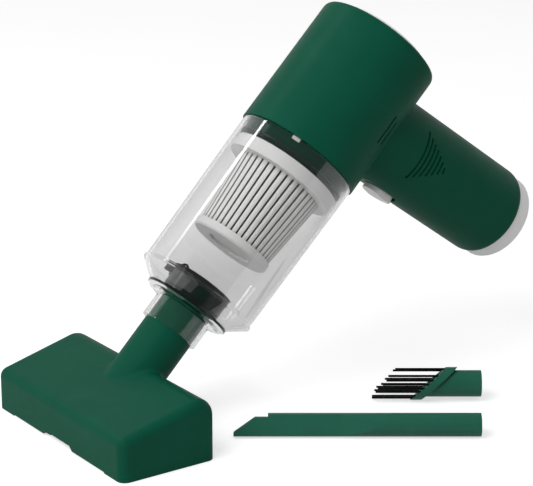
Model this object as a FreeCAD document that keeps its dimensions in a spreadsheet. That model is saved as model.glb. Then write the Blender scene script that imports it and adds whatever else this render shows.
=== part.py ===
import FreeCAD, Part
import math
import os
import Sketcher

# Desktop mini vacuum cleaner, standing on its floor head, with its two loose tools.
# Frame: +Z up, +X the way the body leans back, Y along the floor head.
# Origin: centre of the floor head's footprint, on the surface it stands on.
#
# Lengths in millimetres, angles in degrees. A station is a distance along an axis from its start.
SIZES = {
    "Floor head": {
        "head_length": 117.1,
        "head_depth": 51.2,
        "head_front_height": 20.0,
        "head_rear_height": 33.3,
        "head_wall": 2.2,
        "head_front_edge_radius": 5.0,
        "head_rear_edge_radius": 9.0,
        "head_end_edge_radius": 4.5,
        "foot_length": 15.5,
        "foot_drop": 0.6,
        "notch_length": 27.0,
        "notch_slope": 2.5,
        "notch_height": 2.6,
        "sole_thickness": 2.0,
        "sole_gap": 0.15,
        "suction_slot_start": 4.5,
        "suction_slot_width": 11.0,
        "suction_slot_margin": 13.05,
        "boss_inset_x": 9.5,
        "boss_inset_y": 7.5,
        "boss_radius": 3.2,
        "head_screw_radius": 1.4,
        "head_screw_head_radius": 2.6,
        "head_screw_head_height": 1.1,
        "head_screw_length": 9.0,
        "screw_clearance": 0.2,
    },
    "Lean and suction tube": {
        "lean_angle": 45.0,
        "tube_offset": 6.45,
        "tube_start": 14.0,
        "tube_radius": 13.0,
        "tube_wall": 2.4,
        "tube_root_blend": 3.0,
        "neck_station": 61.3,
        "neck_step": 0.3,
        "neck_length": 13.6,
    },
    "Fits": {
        "body_gap": 0.3,
        "running_fit": 0.08,
        "pin_fit": 0.05,
        "seat_gap": 0.1,
        "cut_overrun": 1.0,
    },
    "Clear nose": {
        "nose_socket_wall": 2.42,
        "nose_wall": 1.5,
        "nose_floor_wall": 1.6,
        "nose_spread": 7.1,
        "nose_rise": 1.0,
        "nose_floor_inset": 4.5,
        "nose_seal_height": 1.2,
        "nose_seal_width": 1.9,
        "nose_seal_reach": 0.3,
    },
    "Dust cup": {
        "cup_base_radius": 30.8,
        "cup_top_radius": 32.0,
        "cup_wall": 1.7,
        "cup_corner_rise": 8.2,
        "cup_lip_height": 1.3,
        "cup_lip": 0.7,
    },
    "Inlet sleeve and flap": {
        "sleeve_bore_step": 0.5,
        "sleeve_wall": 2.5,
        "sleeve_height": 12.8,
        "flap_overhang": 0.7,
        "flap_thickness": 1.1,
        "flap_rim_width": 1.4,
        "flap_rim_height": 1.0,
        "flap_hinge_angle": 122.0,
        "flap_hinge_reach": 1.4,
        "flap_knuckle_radius": 1.3,
        "flap_knuckle_length": 6.2,
        "flap_arm_thickness": 1.3,
        "flap_arm_overlap": 2.8,
        "flap_pin_radius": 0.6,
        "lug_width": 1.8,
        "lug_radius": 1.4,
        "lug_depth": 2.0,
        "eyelet_radius": 1.9,
        "eyelet_wire_radius": 0.55,
        "eyelet_inset": 6.0,
        "eyelet_offset": 2.015,
    },
    "Filter": {
        "filter_cap_radius": 21.0,
        "filter_cap_height": 4.2,
        "filter_cap_recess_radius": 11.5,
        "filter_cap_recess_depth": 1.2,
        "filter_cap_edge": 0.8,
        "filter_cap_mark_radius": 0.7,
        "filter_cap_mark_depth": 0.7,
        "filter_cap_mark_inset": 1.3,
        "filter_cap_mark_angle": 138.0,
        "pleat_length": 37.6,
        "pleat_base_inset": 0.8,
        "pleat_top_inset": 5.3,
        "pleat_depth": 3.6,
        "pleat_wall": 2.0,
        "filter_ring_gap": 1.17,
        "filter_ring_height": 6.8,
        "filter_ring_seat": 3.0,
        "filter_fit": 0.2,
        "filter_spigot_wall": 1.6,
        "filter_spigot_height": 6.0,
        "gasket_height": 0.8,
        "gasket_gap": 0.7,
    },
    "Motor housing": {
        "housing_step": 0.8,
        "housing_wall": 2.2,
        "housing_station": 169.7,
        "housing_length": 71.0,
        "housing_edge_drop": 2.4,
        "housing_edge_inset": 1.6,
        "housing_lip_height": 2.3,
        "top_cap_inset": 4.2,
        "top_cap_height": 2.2,
        "top_cap_crown": 0.7,
        "top_cap_skirt_inset": 1.5,
        "top_cap_skirt_wall": 1.6,
        "top_cap_skirt_depth": 5.5,
        "handle_port_radius": 13.0,
        "vent_width": 1.3,
        "vent_long": 16.5,
        "vent_short": 13.5,
        "vent_offset": 1.7,
        "vent_long_angle": 67.3,
        "vent_short_angle": 60.3,
    },
    "Neck collar": {
        "collar_gap": 1.3,
        "collar_wall": 3.4,
        "collar_drop": 8.2,
        "collar_rise": 6.6,
        "collar_flange_height": 2.4,
        "collar_seal_offset": 1.0,
        "collar_seal_height": 1.0,
        "collar_seal_depth": 0.9,
        "collar_seal_reach": 0.5,
        "index_mark_angle": 136.0,
        "index_mark_width": 4.2,
        "index_mark_height": 1.5,
        "index_mark_depth": 0.4,
    },
    "Fan and motor": {
        "shroud_wall": 1.5,
        "shroud_inlet_radius": 11.5,
        "shroud_height": 13.7,
        "mount_thickness": 2.0,
        "mount_bore_radius": 6.2,
        "mount_vent_radius": 3.0,
        "mount_vent_reach": 6.0,
        "impeller_tip_gap": 4.0,
        "impeller_floor_gap": 1.6,
        "impeller_head_gap": 0.6,
        "impeller_plate": 1.3,
        "impeller_hub_radius": 5.0,
        "blade_inner_radius": 10.5,
        "blade_thickness": 1.0,
        "blade_tip_inset": 3.0,
        "blade_lean": 35.0,
        "motor_radius": 17.5,
        "motor_wall": 1.2,
        "motor_length": 31.0,
        "motor_bearing_radius": 5.0,
        "motor_bearing_height": 3.5,
        "end_bell_inset": 5.5,
        "end_bell_height": 3.2,
        "shaft_radius": 1.5,
        "shaft_base_reach": 1.0,
        "rotor_core_gap": 4.3,
        "rotor_core_inset": 7.0,
        "motor_screw_radius": 1.25,
        "motor_screw_head_radius": 2.3,
        "motor_screw_head_height": 1.0,
        "motor_screw_length": 4.5,
        "motor_screw_inset": 5.0,
    },
    "Handle": {
        "grip_drop_angle": 35.0,
        "grip_rise": 30.9,
        "handle_radius": 24.4,
        "handle_wall": 2.2,
        "handle_length": 123.8,
        "handle_edge_drop": 2.8,
        "handle_edge_inset": 1.0,
        "handle_start": 8.0,
        "groove_offset": 13.0,
        "groove_pitch": 2.83,
        "groove_width": 1.25,
        "groove_depth": 0.8,
        "groove_fan_angle": 33.2,
        "end_cap_step": 0.2,
        "end_cap_height": 9.2,
        "end_cap_wall": 1.8,
        "end_cap_edge": 1.4,
        "end_cap_spigot_length": 5.0,
    },
    "Power button": {
        "button_offset": 19.0,
        "button_length": 18.0,
        "button_width": 11.0,
        "button_rise": 1.9,
        "button_flange": 1.4,
        "button_flange_height": 1.4,
        "button_flange_drop": 1.4,
        "button_travel": 1.5,
        "button_slope": 1.6,
        "recess_length": 31.6,
        "recess_width": 18.5,
        "recess_depth": 1.7,
        "recess_margin": 1.0,
        "plunger_radius": 1.6,
    },
    "Inside the handle": {
        "cell_radius": 9.15,
        "cell_end_gap": 2.4,
        "cell_offset": 4.3,
        "cell_gap": 0.4,
        "cell_terminal_radius": 3.0,
        "cell_terminal_height": 1.0,
        "tray_offset": 5.7,
        "tray_setback": 12.3,
        "tray_thickness": 1.5,
        "tray_wall_gap": 0.2,
        "tray_end_thickness": 1.6,
        "tray_end_depth": 13.0,
        "tray_end_width": 34.0,
        "board_width": 26.0,
        "board_thickness": 1.6,
        "standoff_height": 1.5,
        "standoff_radius": 1.8,
        "standoff_inset": 4.0,
        "switch_side": 6.0,
        "switch_height": 3.4,
        "socket_width": 9.0,
        "socket_height": 3.2,
        "socket_depth": 7.3,
        "socket_wall": 0.4,
        "socket_seat_length": 4.0,
        "port_margin": 0.4,
    },
    "Brush tool": {
        "brush_x": 131.35,
        "brush_y": -39.6,
        "tool_turn_angle": -35.1,
        "brush_length": 54.2,
        "brush_tube_radius": 6.6,
        "brush_tube_wall": 1.4,
        "brush_flange_reach": 1.55,
        "brush_flange_start": 19.0,
        "brush_flange_width": 5.3,
        "brush_slope_angle": 42.0,
        "tool_roll_angle": -17.2,
        "tuft_radius": 0.55,
        "tuft_edge": 0.4,
        "tuft_root": 1.6,
    },
    "Crevice tool": {
        "crevice_x": 47.95,
        "crevice_y": -39.7,
        "crevice_length": 117.9,
        "crevice_radius": 5.65,
        "crevice_wall": 1.2,
        "blade_half_width": 2.6,
        "blade_length": 51.0,
        "blade_fade": 16.0,
        "tip_height": 2.1,
        "tip_slope_length": 10.2,
        "tip_step_length": 16.4,
        "tip_step_height": 2.0,
        "blade_bore_overlap": 3.6,
    },
    "Counts": {
        "pleat_count": 40,
        "blade_count": 9,
        "mount_vent_count": 8,
    },
}

# Points of the nose's flare, as shares of its spread and of its rise.
NOSE_FLARE_SHARES = ((0.42, 0.16), (0.80, 0.48))
# Points of the rounded edges of housing and handle, as shares of their inset and of their drop.
HOUSING_EDGE_SHARES = ((0.12, 0.56), (0.45, 0.18))
HANDLE_EDGE_SHARES = ((0.15, 0.45), (0.50, 0.82))
END_CAP_EDGE_SHARE = 0.35
TOP_CAP_CROWN_SHARE = 0.75
BUTTON_OPENING_SHARE = 0.6
BLADE_BORE_SHARE = 0.85
# Each groove of the fan on the handle, as a share of the longest one's half angle.
GROOVE_ANGLE_SHARES = (1.0, 0.81, 0.66, 0.53, 0.39, 0.24, 0.11)
# Bristles round the brush's mouth: the place of each up its side as a share of a quarter turn, and
# its tip as a share of the flange's start.
NEAR_TUFT_SHARES = (
    (-0.85, 0.0), (-0.62, 0.01), (-0.36, 0.08), (-0.20, 0.135),
    (-0.01, 0.26), (0.16, 0.36), (0.37, 0.44), (0.93, 0.61),
)
FAR_TUFT_SHARES = (
    (-0.90, 0.0), (-0.71, 0.01), (-0.36, 0.08), (-0.20, 0.135),
    (-0.07, 0.26), (0.16, 0.36), (0.30, 0.45), (0.66, 0.56),
)

NODES = []
# Any turn but none keeps the axis of a placement until the sheet sets its angle.
FIRST_ANGLE = 10
# Places closer than this are the same place.
SAME = 1e-6

doc = FreeCAD.newDocument("mini_vacuum")


class Size:
    """A length, angle or count with its value and its formula in the sheet."""

    def __init__(self, value, formula):
        self.value = value
        self.formula = formula

    def __add__(self, other):
        other = as_size(other)
        return Size(self.value + other.value, f"({self.formula} + {other.formula})")

    def __sub__(self, other):
        other = as_size(other)
        return Size(self.value - other.value, f"({self.formula} - {other.formula})")

    def __mul__(self, other):
        other = as_size(other)
        return Size(self.value * other.value, f"({self.formula} * {other.formula})")

    def __truediv__(self, other):
        other = as_size(other)
        return Size(self.value / other.value, f"({self.formula} / {other.formula})")

    def __neg__(self):
        return Size(-self.value, f"(0 - {self.formula})")


def as_size(number):
    if isinstance(number, Size):
        return number
    return Size(float(number), f"({float(number):.6f})")


def sine(angle):
    return Size(math.sin(math.radians(angle.value)), f"sin({angle.formula} * 1 deg)")


def cosine(angle):
    return Size(math.cos(math.radians(angle.value)), f"cos({angle.formula} * 1 deg)")


def tangent(angle):
    return Size(math.tan(math.radians(angle.value)), f"tan({angle.formula} * 1 deg)")


class Sheet:
    """The spreadsheet of driving dimensions; each alias reads as an attribute."""

    def __init__(self, document, groups):
        self.values = {}
        cells = document.addObject("Spreadsheet::Sheet", "Sizes")
        cells.Label = "driving dimensions"
        row = 1
        for heading, sizes in groups.items():
            cells.set(f"A{row}", heading)
            row += 1
            for name, value in sizes.items():
                cells.set(f"A{row}", name.replace("_", " "))
                cells.set(f"B{row}", str(value))
                cells.setAlias(f"B{row}", name)
                self.values[name] = value
                row += 1
        document.recompute()

    def __getattr__(self, name):
        return Size(float(self.values[name]), f"Sizes.{name}")


size = Sheet(doc, SIZES)
ZERO = as_size(0)
AXES = {
    "x": FreeCAD.Vector(1, 0, 0),
    "y": FreeCAD.Vector(0, 1, 0),
    "z": FreeCAD.Vector(0, 0, 1),
}


# Places and turns

def place(item, at=(ZERO, ZERO, ZERO), axis="z", angle=ZERO, prop="Placement"):
    """Puts an item at a point with one turn, both bound to the sheet."""
    setattr(item, prop, FreeCAD.Placement(FreeCAD.Vector(), FreeCAD.Rotation(AXES[axis], FIRST_ANGLE)))
    item.setExpression(f"{prop}.Rotation.Angle", f"{angle.formula} * 1 deg")
    for letter, amount in zip("xyz", at):
        item.setExpression(f"{prop}.Base.{letter}", amount.formula)


class Frame:
    """A place in the part's frame that a finished piece is carried to."""

    def __init__(self, at, axis, angle):
        self.at = at
        self.axis = axis
        self.angle = angle

    def carry(self, item):
        place(item, self.at, self.axis, self.angle)


def node(label, item, frame=None):
    """Names a finished piece, which also names its file."""
    item.Label = label
    if frame:
        frame.carry(item)
    NODES.append(item)
    return item


# Bodies made from sketches

def new_body(name):
    return doc.addObject("PartDesign::Body", name)


def origin_plane(body, role):
    for feature in body.Origin.OriginFeatures:
        if feature.Role == role:
            return feature
    raise ValueError(role)


def pin_point(sketch, element, end, along, across):
    """Fixes one sketch point by its two distances from the origin."""
    for kind, amount, axis_line in (("DistanceX", along, -2), ("DistanceY", across, -1)):
        if abs(amount.value) < SAME:
            sketch.addConstraint(Sketcher.Constraint("PointOnObject", element, end, axis_line))
        elif amount.value > 0:
            row = sketch.addConstraint(Sketcher.Constraint(kind, -1, 1, element, end, amount.value))
            sketch.setExpression(f"Constraints[{row}]", amount.formula)
        else:
            row = sketch.addConstraint(Sketcher.Constraint(kind, element, end, -1, 1, -amount.value))
            sketch.setExpression(f"Constraints[{row}]", (-amount).formula)


def new_sketch(body, name, role, at=None, angle=None):
    sketch = body.newObject("Sketcher::SketchObject", name)
    sketch.AttachmentSupport = (origin_plane(body, role), [""])
    sketch.MapMode = "FlatFace"
    if at or angle:
        place(sketch, at or (ZERO, ZERO, ZERO), "z", angle or ZERO, "AttachmentOffset")
    return sketch


def outline(body, name, role, points, at=None, angle=None):
    """A closed outline of straight lines through points given in named sizes."""
    sketch = new_sketch(body, name, role, at, angle)
    points = [(as_size(along), as_size(across)) for along, across in points]
    last = len(points) - 1
    for index, (along, across) in enumerate(points):
        following = points[0 if index == last else index + 1]
        start = FreeCAD.Vector(along.value, across.value, 0)
        end = FreeCAD.Vector(following[0].value, following[1].value, 0)
        sketch.addGeometry(Part.LineSegment(start, end), False)
    for index in range(len(points)):
        following = 0 if index == last else index + 1
        sketch.addConstraint(Sketcher.Constraint("Coincident", index, 2, following, 1))
    for index, (along, across) in enumerate(points):
        pin_point(sketch, index, 1, along, across)
    return sketch


def circles(body, name, role, centres, radius, at=None):
    """Circles of one radius about points given in named sizes."""
    sketch = new_sketch(body, name, role, at)
    normal = FreeCAD.Vector(0, 0, 1)
    for index, (along, across) in enumerate(centres):
        centre = FreeCAD.Vector(along.value, across.value, 0)
        sketch.addGeometry(Part.Circle(centre, normal, radius.value), False)
        pin_point(sketch, index, 3, along, across)
        row = sketch.addConstraint(Sketcher.Constraint("Radius", index, radius.value))
        sketch.setExpression(f"Constraints[{row}]", radius.formula)
    return sketch


def add(body, kind, name, sketch, length=None, both_ways=False, backwards=False):
    """A pad, pocket, revolution or groove of one sketch."""
    before = body.Shape.Volume if body.Tip else 0.0
    feature = body.newObject(f"PartDesign::{kind}", name)
    feature.Profile = sketch
    if length is None:
        feature.ReferenceAxis = (sketch, ["V_Axis"])
        feature.Angle = 360
    else:
        feature.Length = length.value
        feature.setExpression("Length", length.formula)
        if both_ways:
            feature.SideType = "Symmetric"
    feature.Reversed = backwards
    doc.recompute()
    grows = kind in ("Pad", "Revolution")
    if (body.Shape.Volume > before) != grows:
        raise RuntimeError(f"{name} changed nothing or went the wrong way")
    return feature


def round_edges(body, name, radius, wanted):
    """Rounds the edges of the body so far that the test picks."""
    base = body.Tip
    names = [f"Edge{row}" for row, edge in enumerate(base.Shape.Edges, 1) if wanted(edge)]
    if not names:
        raise RuntimeError(f"{name} found no edge")
    fillet = body.newObject("PartDesign::Fillet", name)
    fillet.Base = (base, names)
    fillet.Radius = radius.value
    fillet.setExpression("Radius", radius.formula)
    doc.recompute()
    return fillet


def turned(name, profile):
    """A body turned about its own Z axis from an outline of radii and stations."""
    body = new_body(name)
    add(body, "Revolution", f"{name}_turn", outline(body, f"{name}_profile", "XZ_Plane", profile))
    return body


# Primitives and booleans

def cylinder(name, radius, height, at=(ZERO, ZERO, ZERO), axis="z", angle=ZERO, sector=None):
    item = doc.addObject("Part::Cylinder", name)
    item.setExpression("Radius", radius.formula)
    item.setExpression("Height", height.formula)
    if sector:
        item.setExpression("Angle", f"{sector.formula} * 1 deg")
    place(item, at, axis, angle)
    return item


def box(name, length, width, height, at=(ZERO, ZERO, ZERO), axis="z", angle=ZERO):
    item = doc.addObject("Part::Box", name)
    item.setExpression("Length", length.formula)
    item.setExpression("Width", width.formula)
    item.setExpression("Height", height.formula)
    place(item, at, axis, angle)
    return item


def torus(name, ring, wire, at=(ZERO, ZERO, ZERO), axis="z", angle=ZERO):
    item = doc.addObject("Part::Torus", name)
    item.setExpression("Radius1", ring.formula)
    item.setExpression("Radius2", wire.formula)
    place(item, at, axis, angle)
    return item


def fuse(name, items):
    """Joins pieces; a single one is only wrapped, so that it can be carried again."""
    if len(items) == 1:
        item = doc.addObject("Part::Compound", name)
        item.Links = items
        return item
    item = doc.addObject("Part::MultiFuse", name)
    item.Shapes = items
    return item


def common(name, items):
    item = doc.addObject("Part::MultiCommon", name)
    item.Shapes = items
    return item


def cut(name, base, tools):
    item = doc.addObject("Part::Cut", name)
    item.Base = base
    item.Tool = tools[0] if len(tools) == 1 else fuse(f"{name}_tools", tools)
    return item


def turn_group(name, items, angle):
    """Pieces laid out along X, joined and turned about Z."""
    group = fuse(name, items)
    place(group, axis="z", angle=angle)
    return group


def pill(name, length, width, height, start, station):
    """A rounded bar along Z, its flat faces square to X."""
    straight = length - width
    low = station - straight / 2
    quarter = as_size(90)
    ends = [
        cylinder(f"{name}_end_{row}", width / 2, height, (start, ZERO, at), "y", quarter)
        for row, at in enumerate((low, low + straight))
    ]
    middle = box(f"{name}_middle", height, width, straight, (start, -width / 2, low))
    return fuse(name, ends + [middle])


# Radii and stations that follow from the sizes, from the suction tube up to the housing

QUARTER = as_size(90)
tip_angle = QUARTER - size.lean_angle
neck_radius = size.tube_radius - size.neck_step
tube_bore_radius = size.tube_radius - size.tube_wall
neck_top = size.neck_station + size.neck_length
nose_floor = neck_top + size.body_gap
nose_station = nose_floor + size.nose_rise
cup_corner = nose_station + size.cup_corner_rise
corner_top = cup_corner + size.cup_lip_height
cup_top = size.housing_station - size.body_gap
sleeve_top = nose_floor + size.sleeve_height

housing_radius = size.cup_top_radius + size.housing_step
housing_bore = housing_radius - size.housing_wall
collar_radius = size.cup_top_radius - size.cup_wall - size.collar_gap
collar_bore = collar_radius - size.collar_wall
collar_base = size.housing_station - size.collar_drop
collar_top = size.housing_station + size.collar_rise
ring_top = collar_base - size.body_gap - size.gasket_height
ring_station = ring_top - size.filter_ring_height
filter_cap_top = ring_station - size.pleat_length
filter_station = filter_cap_top - size.filter_cap_height

grip_station = size.housing_station + size.grip_rise
handle_bore = size.handle_radius - size.handle_wall
cap_end = size.handle_length + size.end_cap_height
button_station = housing_radius + size.button_offset
button_top_radius = size.handle_radius + size.button_rise
brush_flange_radius = size.brush_tube_radius + size.brush_flange_reach

tube_foot = (-size.tube_offset, ZERO, ZERO)
barrel = Frame(tube_foot, "y", tip_angle)
grip_start = (
    grip_station * sine(tip_angle) - size.tube_offset,
    ZERO,
    grip_station * cosine(tip_angle),
)
grip = Frame(grip_start, "y", QUARTER + size.grip_drop_angle)
# Angle between the barrel's axis and the handle's.
grip_angle = QUARTER + size.grip_drop_angle - tip_angle
brush_place = Frame((size.brush_x, size.brush_y, ZERO), "z", size.tool_turn_angle)
crevice_place = Frame((size.crevice_x, size.crevice_y, ZERO), "z", size.tool_turn_angle)


# Floor head: a hollow wedge with the suction tube rising from it

front = -size.head_depth / 2
rear = size.head_depth / 2
roof_rise = (size.head_rear_height - size.head_front_height) / size.head_depth


def roof_height(along):
    return size.head_front_height + (along - front) * roof_rise


head = new_body("head_shell_body")
head_side = outline(head, "head_side", "XZ_Plane", [
    (front, ZERO),
    (front, size.head_front_height),
    (rear, size.head_rear_height),
    (rear, ZERO),
])
add(head, "Pad", "head_block", head_side, size.head_length, both_ways=True)


def ridge_at(along, height):
    """Tests for a long edge of the head at one place of its side outline."""
    def wanted(edge):
        box_of = edge.BoundBox
        middle = box_of.Center
        flat = box_of.XLength + box_of.ZLength < SAME
        return flat and abs(middle.x - along.value) < SAME and abs(middle.z - height.value) < SAME
    return wanted


def on_head_end(edge):
    """Tests for the edges round an end face, apart from the one it stands on."""
    box_of = edge.BoundBox
    at_end = abs(abs(box_of.Center.y) - size.head_length.value / 2) < SAME
    return at_end and box_of.YLength < SAME and box_of.ZMax > SAME


round_edges(head, "head_front_edge", size.head_front_edge_radius, ridge_at(front, size.head_front_height))
round_edges(head, "head_rear_edge", size.head_rear_edge_radius, ridge_at(rear, size.head_rear_height))
round_edges(head, "head_end_edges", size.head_end_edge_radius, on_head_end)

tube_profile = outline(head, "tube_profile", "XZ_Plane", [
    (ZERO, size.tube_start),
    (size.tube_radius, size.tube_start),
    (size.tube_radius, size.neck_station),
    (neck_radius, size.neck_station),
    (neck_radius, neck_top),
    (ZERO, neck_top),
], at=tube_foot, angle=-tip_angle)
add(head, "Revolution", "suction_tube", tube_profile)


def at_tube_root(edge):
    """Tests for the oval edge where the tube meets the sloping roof."""
    middle = edge.BoundBox.Center
    low = size.head_front_height.value
    wide = edge.BoundBox.YLength > size.tube_radius.value
    return wide and low < middle.z < size.head_rear_height.value and edge.BoundBox.XLength > low / 2


round_edges(head, "tube_root", size.tube_root_blend, at_tube_root)

ceiling = size.head_wall
hollow_rear = rear - size.head_wall
bevel_start = rear - size.head_rear_edge_radius
hollow_side = outline(head, "hollow_side", "XZ_Plane", [
    (front + size.head_wall, ZERO),
    (front + size.head_wall, roof_height(front) - ceiling),
    (bevel_start, roof_height(bevel_start) - ceiling),
    (hollow_rear, size.head_rear_height - size.head_rear_edge_radius),
    (hollow_rear, ZERO),
])
hollow_length = size.head_length - size.head_wall * 2
add(head, "Pocket", "head_hollow", hollow_side, hollow_length, both_ways=True)
tube_bore = outline(head, "tube_bore", "XZ_Plane", [
    (ZERO, size.tube_start),
    (tube_bore_radius, size.tube_start),
    (tube_bore_radius, neck_top + size.cut_overrun),
    (ZERO, neck_top + size.cut_overrun),
], at=tube_foot, angle=-tip_angle)
add(head, "Groove", "tube_bore_cut", tube_bore)

# The lower edge stands on two end feet, with a raised notch in the middle of each long side.
foot_inner = size.head_length / 2 - size.foot_length
notch_half = size.notch_length / 2
edge_profile = outline(head, "lower_edge", "YZ_Plane", [
    (-foot_inner, ZERO),
    (-foot_inner + size.foot_drop, size.foot_drop),
    (-notch_half, size.foot_drop),
    (-notch_half + size.notch_slope, size.notch_height),
    (notch_half - size.notch_slope, size.notch_height),
    (notch_half, size.foot_drop),
    (foot_inner - size.foot_drop, size.foot_drop),
    (foot_inner, ZERO),
])
add(head, "Pocket", "lower_edge_cut", edge_profile, size.head_depth + size.cut_overrun, both_ways=True)

boss_x = size.head_depth / 2 - size.boss_inset_x
boss_y = size.head_length / 2 - size.boss_inset_y
for side, along in (("front", -boss_x), ("rear", boss_x)):
    spots = [(along, -boss_y), (along, boss_y)]
    lift = (ZERO, ZERO, size.sole_thickness)
    boss_height = roof_height(along) - size.head_wall / 2 - size.sole_thickness
    bosses = circles(head, f"{side}_bosses", "XY_Plane", spots, size.boss_radius, lift)
    add(head, "Pad", f"{side}_boss_pads", bosses, boss_height)
    holes = circles(head, f"{side}_boss_holes", "XY_Plane", spots, size.head_screw_radius, lift)
    add(head, "Pocket", f"{side}_boss_bores", holes, size.head_screw_length, backwards=True)
node("head_shell", head)

sole = new_body("sole_plate_body")
sole_front = front + size.head_wall + size.sole_gap
sole_rear = rear - size.head_wall - size.sole_gap
sole_side = size.head_length / 2 - size.head_wall - size.sole_gap
slot_front = sole_front + size.suction_slot_start
slot_rear = slot_front + size.suction_slot_width
slot_side = size.head_length / 2 - size.suction_slot_margin
channel_side = notch_half - size.notch_slope
sole_outline = outline(sole, "sole_outline", "XY_Plane", [
    (sole_front, -sole_side),
    (sole_rear, -sole_side),
    (sole_rear, sole_side),
    (sole_front, sole_side),
    (sole_front, channel_side),
    (slot_front, channel_side),
    (slot_front, slot_side),
    (slot_rear, slot_side),
    (slot_rear, -slot_side),
    (slot_front, -slot_side),
    (slot_front, -channel_side),
    (sole_front, -channel_side),
])
add(sole, "Pad", "sole_slab", sole_outline, size.sole_thickness)
screw_spots = [(x, y) for x in (-boss_x, boss_x) for y in (-boss_y, boss_y)]
shank_hole = size.head_screw_radius + size.screw_clearance
head_hole = size.head_screw_head_radius + size.screw_clearance
shank_holes = circles(sole, "shank_holes", "XY_Plane", screw_spots, shank_hole)
add(sole, "Pocket", "shank_hole_cuts", shank_holes, size.sole_thickness, backwards=True)
head_holes = circles(sole, "head_holes", "XY_Plane", screw_spots, head_hole)
head_hole_depth = size.head_screw_head_height + size.seat_gap
add(sole, "Pocket", "head_hole_cuts", head_holes, head_hole_depth, backwards=True)
node("sole_plate", sole)

head_screws = []
for row, (x, y) in enumerate(screw_spots):
    head_disc = cylinder(
        f"head_screw_head_{row}", size.head_screw_head_radius, size.head_screw_head_height,
        (x, y, size.seat_gap))
    shank = cylinder(
        f"head_screw_shank_{row}", size.head_screw_radius, size.head_screw_length, (x, y, size.seat_gap))
    head_screws.append(fuse(f"head_screw_{row}", [head_disc, shank]))
node("head_screws", fuse("head_screw_set", head_screws))


# Dust cup: clear socket and nose, seal, cup, black sleeve with its flap valve

socket_start = size.neck_station + size.body_gap
socket_bore = neck_radius + size.running_fit
socket_radius = socket_bore + size.nose_socket_wall
socket_end = nose_floor - size.nose_floor_wall
flare_rise = nose_station - socket_end
nose_radius = socket_radius + size.nose_spread
nose_floor_radius = nose_radius - size.nose_floor_inset
flare = [
    (socket_radius + size.nose_spread * out_share, socket_end + flare_rise * up_share)
    for out_share, up_share in NOSE_FLARE_SHARES
]
nose = turned("inlet_nose_body", [
    (socket_bore, socket_start),
    (socket_radius, socket_start),
    (socket_radius, socket_end),
] + flare + [
    (nose_radius, nose_station),
    (nose_radius - size.nose_wall, nose_station),
    (nose_floor_radius + size.nose_wall, nose_floor + size.nose_wall / 2),
    (nose_floor_radius, nose_floor),
    (socket_bore, nose_floor),
])
node("inlet_nose", nose, barrel)

seal_top = nose_station + size.nose_seal_height
nose_seal = turned("nose_seal_body", [
    (nose_radius + size.nose_seal_reach, nose_station),
    (nose_radius + size.nose_seal_reach, seal_top),
    (nose_radius - size.nose_seal_width, seal_top),
    (nose_radius - size.nose_seal_width, nose_station),
])
node("nose_seal_ring", nose_seal, barrel)

cup = turned("dust_cup_body", [
    (nose_radius + size.seat_gap, seal_top),
    (size.cup_base_radius - size.cup_lip / 2, cup_corner - size.cup_lip),
    (size.cup_base_radius + size.cup_lip, cup_corner),
    (size.cup_base_radius + size.cup_lip, corner_top),
    (size.cup_base_radius, corner_top + size.cup_lip),
    (size.cup_top_radius, cup_top),
    (size.cup_top_radius - size.cup_wall, cup_top),
    (size.cup_base_radius - size.cup_wall, corner_top),
    (nose_radius - size.cup_wall, seal_top + size.cup_wall / 2),
    (nose_radius - size.cup_wall, seal_top),
])
node("dust_cup", cup, barrel)

sleeve_bore = neck_radius + size.sleeve_bore_step
sleeve_radius = sleeve_bore + size.sleeve_wall
flap_radius = sleeve_radius + size.flap_overhang
hinge_radius = flap_radius + size.flap_hinge_reach
sleeve = turned("sleeve_body", [
    (sleeve_bore, nose_floor),
    (sleeve_radius, nose_floor),
    (sleeve_radius, sleeve_top),
    (sleeve_bore, sleeve_top),
])
flap_base = sleeve_top + size.body_gap
hinge_station = flap_base + size.flap_arm_thickness / 2
lug_gap = size.flap_knuckle_length / 2 + size.body_gap
lug_start = sleeve_radius - size.flap_rim_width
lug_pieces = []
for side, offset in (("near", lug_gap), ("far", -lug_gap - size.lug_width)):
    lug_pieces.append(cylinder(
        f"lug_ear_{side}", size.lug_radius, size.lug_width,
        (hinge_radius, offset + size.lug_width, hinge_station), "x", QUARTER))
    lug_pieces.append(box(
        f"lug_root_{side}", hinge_radius + size.lug_radius - lug_start, size.lug_width,
        size.lug_depth, (lug_start, offset, sleeve_top - size.lug_depth)))
lugs = turn_group("flap_lugs", lug_pieces, size.flap_hinge_angle)
pin_length = (lug_gap + size.lug_width) * 2
pin_at = (hinge_radius, pin_length / 2, hinge_station)
pin_hole = turn_group("flap_pin_hole", [
    cylinder("flap_pin_hole_bar", size.flap_pin_radius, pin_length, pin_at, "x", QUARTER),
], size.flap_hinge_angle)
sleeve_with_lugs = fuse("sleeve_with_lugs", [sleeve, lugs])
node("inlet_sleeve", cut("sleeve_bored", sleeve_with_lugs, [pin_hole]), barrel)

pin_bar = cylinder("flap_pin_bar", size.flap_pin_radius, pin_length, pin_at, "x", QUARTER)
pin_turned = turn_group("flap_pin_turned", [pin_bar], size.flap_hinge_angle)
node("flap_pin", fuse("flap_pin_carried", [pin_turned]), barrel)

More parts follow.
